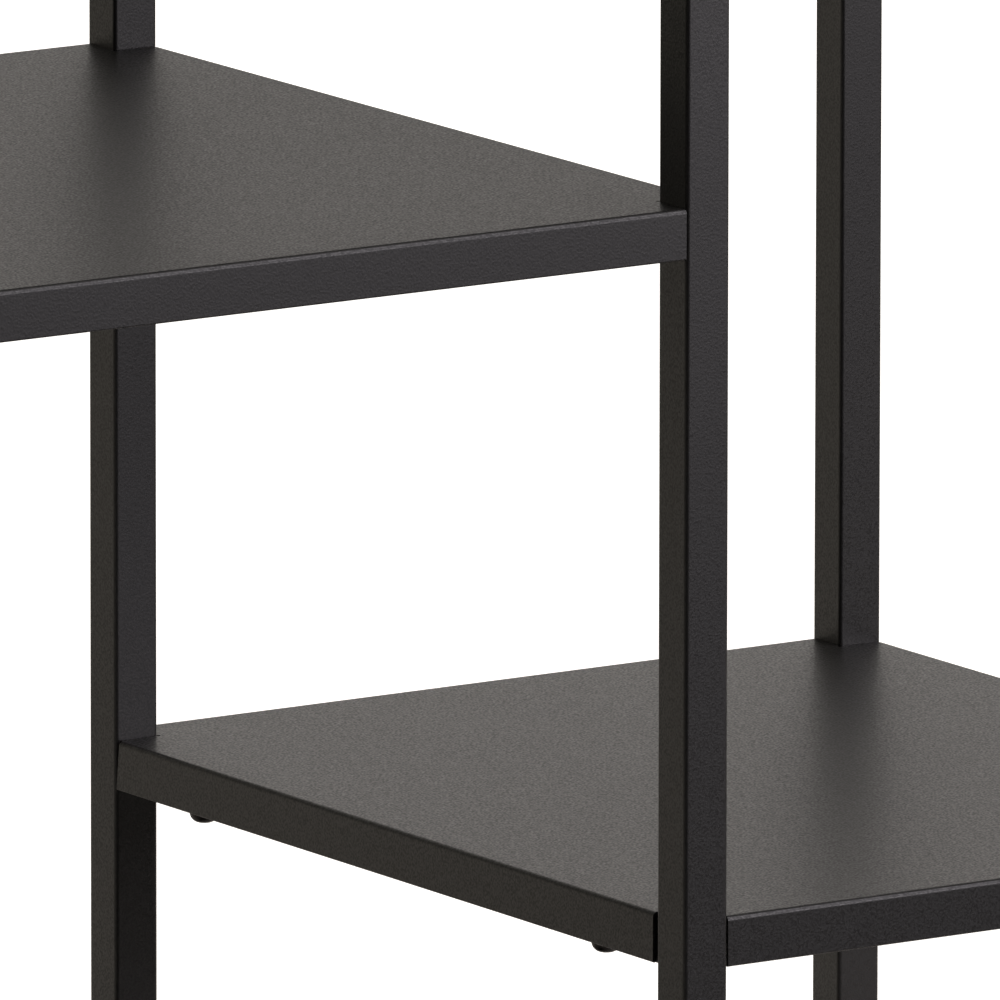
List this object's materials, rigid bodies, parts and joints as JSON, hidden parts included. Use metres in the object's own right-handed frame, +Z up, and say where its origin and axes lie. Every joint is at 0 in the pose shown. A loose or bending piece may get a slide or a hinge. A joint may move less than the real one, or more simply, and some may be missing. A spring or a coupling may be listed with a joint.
{
  "type": "bookcase",
  "caption": "Open asymmetric bookcase: welded square-tube side frames carry folded sheet-metal shelves, staggered between a left and a right column and screwed on from below.",
  "frame": {"origin": "on the floor, at the middle of the footprint of the six feet", "axes": "+X to the right seen from the front, +Y to the back, +Z up"},
  "size_m": [0.574, 0.344, 1.45],
  "materials": {
    "frame_powder_coat": "fine-grained satin black powder coat on steel tube",
    "shelf_powder_coat": "fine-grained satin black powder coat on folded sheet steel",
    "screw_black_zinc": "black zinc plating",
    "foot_plastic": "moulded black polyethylene"
  },
  "bodies": {
    "root": {"post_left_front": "frame_powder_coat", "foot_left_front": "foot_plastic", "post_left_back": "frame_powder_coat", "foot_left_back": "foot_plastic", "top_rail_left": "frame_powder_coat", "post_middle_front": "frame_powder_coat", "foot_middle_front": "foot_plastic", "post_middle_back": "frame_powder_coat", "foot_middle_back": "foot_plastic", "top_rail_middle": "frame_powder_coat", "post_right_front": "frame_powder_coat", "foot_right_front": "foot_plastic", "post_right_back": "frame_powder_coat", "foot_right_back": "foot_plastic", "top_rail_right": "frame_powder_coat", "shelf_1_left": "shelf_powder_coat", "cross_rail_1_left": "frame_powder_coat", "screw_1_left_front": "screw_black_zinc", "screw_1_left_back": "screw_black_zinc", "cross_rail_1_middle": "frame_powder_coat", "screw_1_middle_front": "screw_black_zinc", "screw_1_middle_back": "screw_black_zinc", "shelf_2_right": "shelf_powder_coat", "cross_rail_2_middle": "frame_powder_coat", "screw_2_middle_front": "screw_black_zinc", "screw_2_middle_back": "screw_black_zinc", "cross_rail_2_right": "frame_powder_coat", "screw_2_right_front": "screw_black_zinc", "screw_2_right_back": "screw_black_zinc", "shelf_3_left": "shelf_powder_coat", "cross_rail_3_left": "frame_powder_coat", "screw_3_left_front": "screw_black_zinc", "screw_3_left_back": "screw_black_zinc", "cross_rail_3_middle": "frame_powder_coat", "screw_3_middle_front": "screw_black_zinc", "screw_3_middle_back": "screw_black_zinc", "shelf_4_right": "shelf_powder_coat", "cross_rail_4_middle": "frame_powder_coat", "screw_4_middle_front": "screw_black_zinc", "screw_4_middle_back": "screw_black_zinc", "cross_rail_4_right": "frame_powder_coat", "screw_4_right_front": "screw_black_zinc", "screw_4_right_back": "screw_black_zinc", "shelf_5_left": "shelf_powder_coat", "cross_rail_5_left": "frame_powder_coat", "screw_5_left_front": "screw_black_zinc", "screw_5_left_back": "screw_black_zinc", "cross_rail_5_middle": "frame_powder_coat", "screw_5_middle_front": "screw_black_zinc", "screw_5_middle_back": "screw_black_zinc", "shelf_6_right": "shelf_powder_coat", "cross_rail_6_middle": "frame_powder_coat", "screw_6_middle_front": "screw_black_zinc", "screw_6_middle_back": "screw_black_zinc", "cross_rail_6_right": "frame_powder_coat", "screw_6_right_front": "screw_black_zinc", "screw_6_right_back": "screw_black_zinc"}
  },
  "joints": []
}
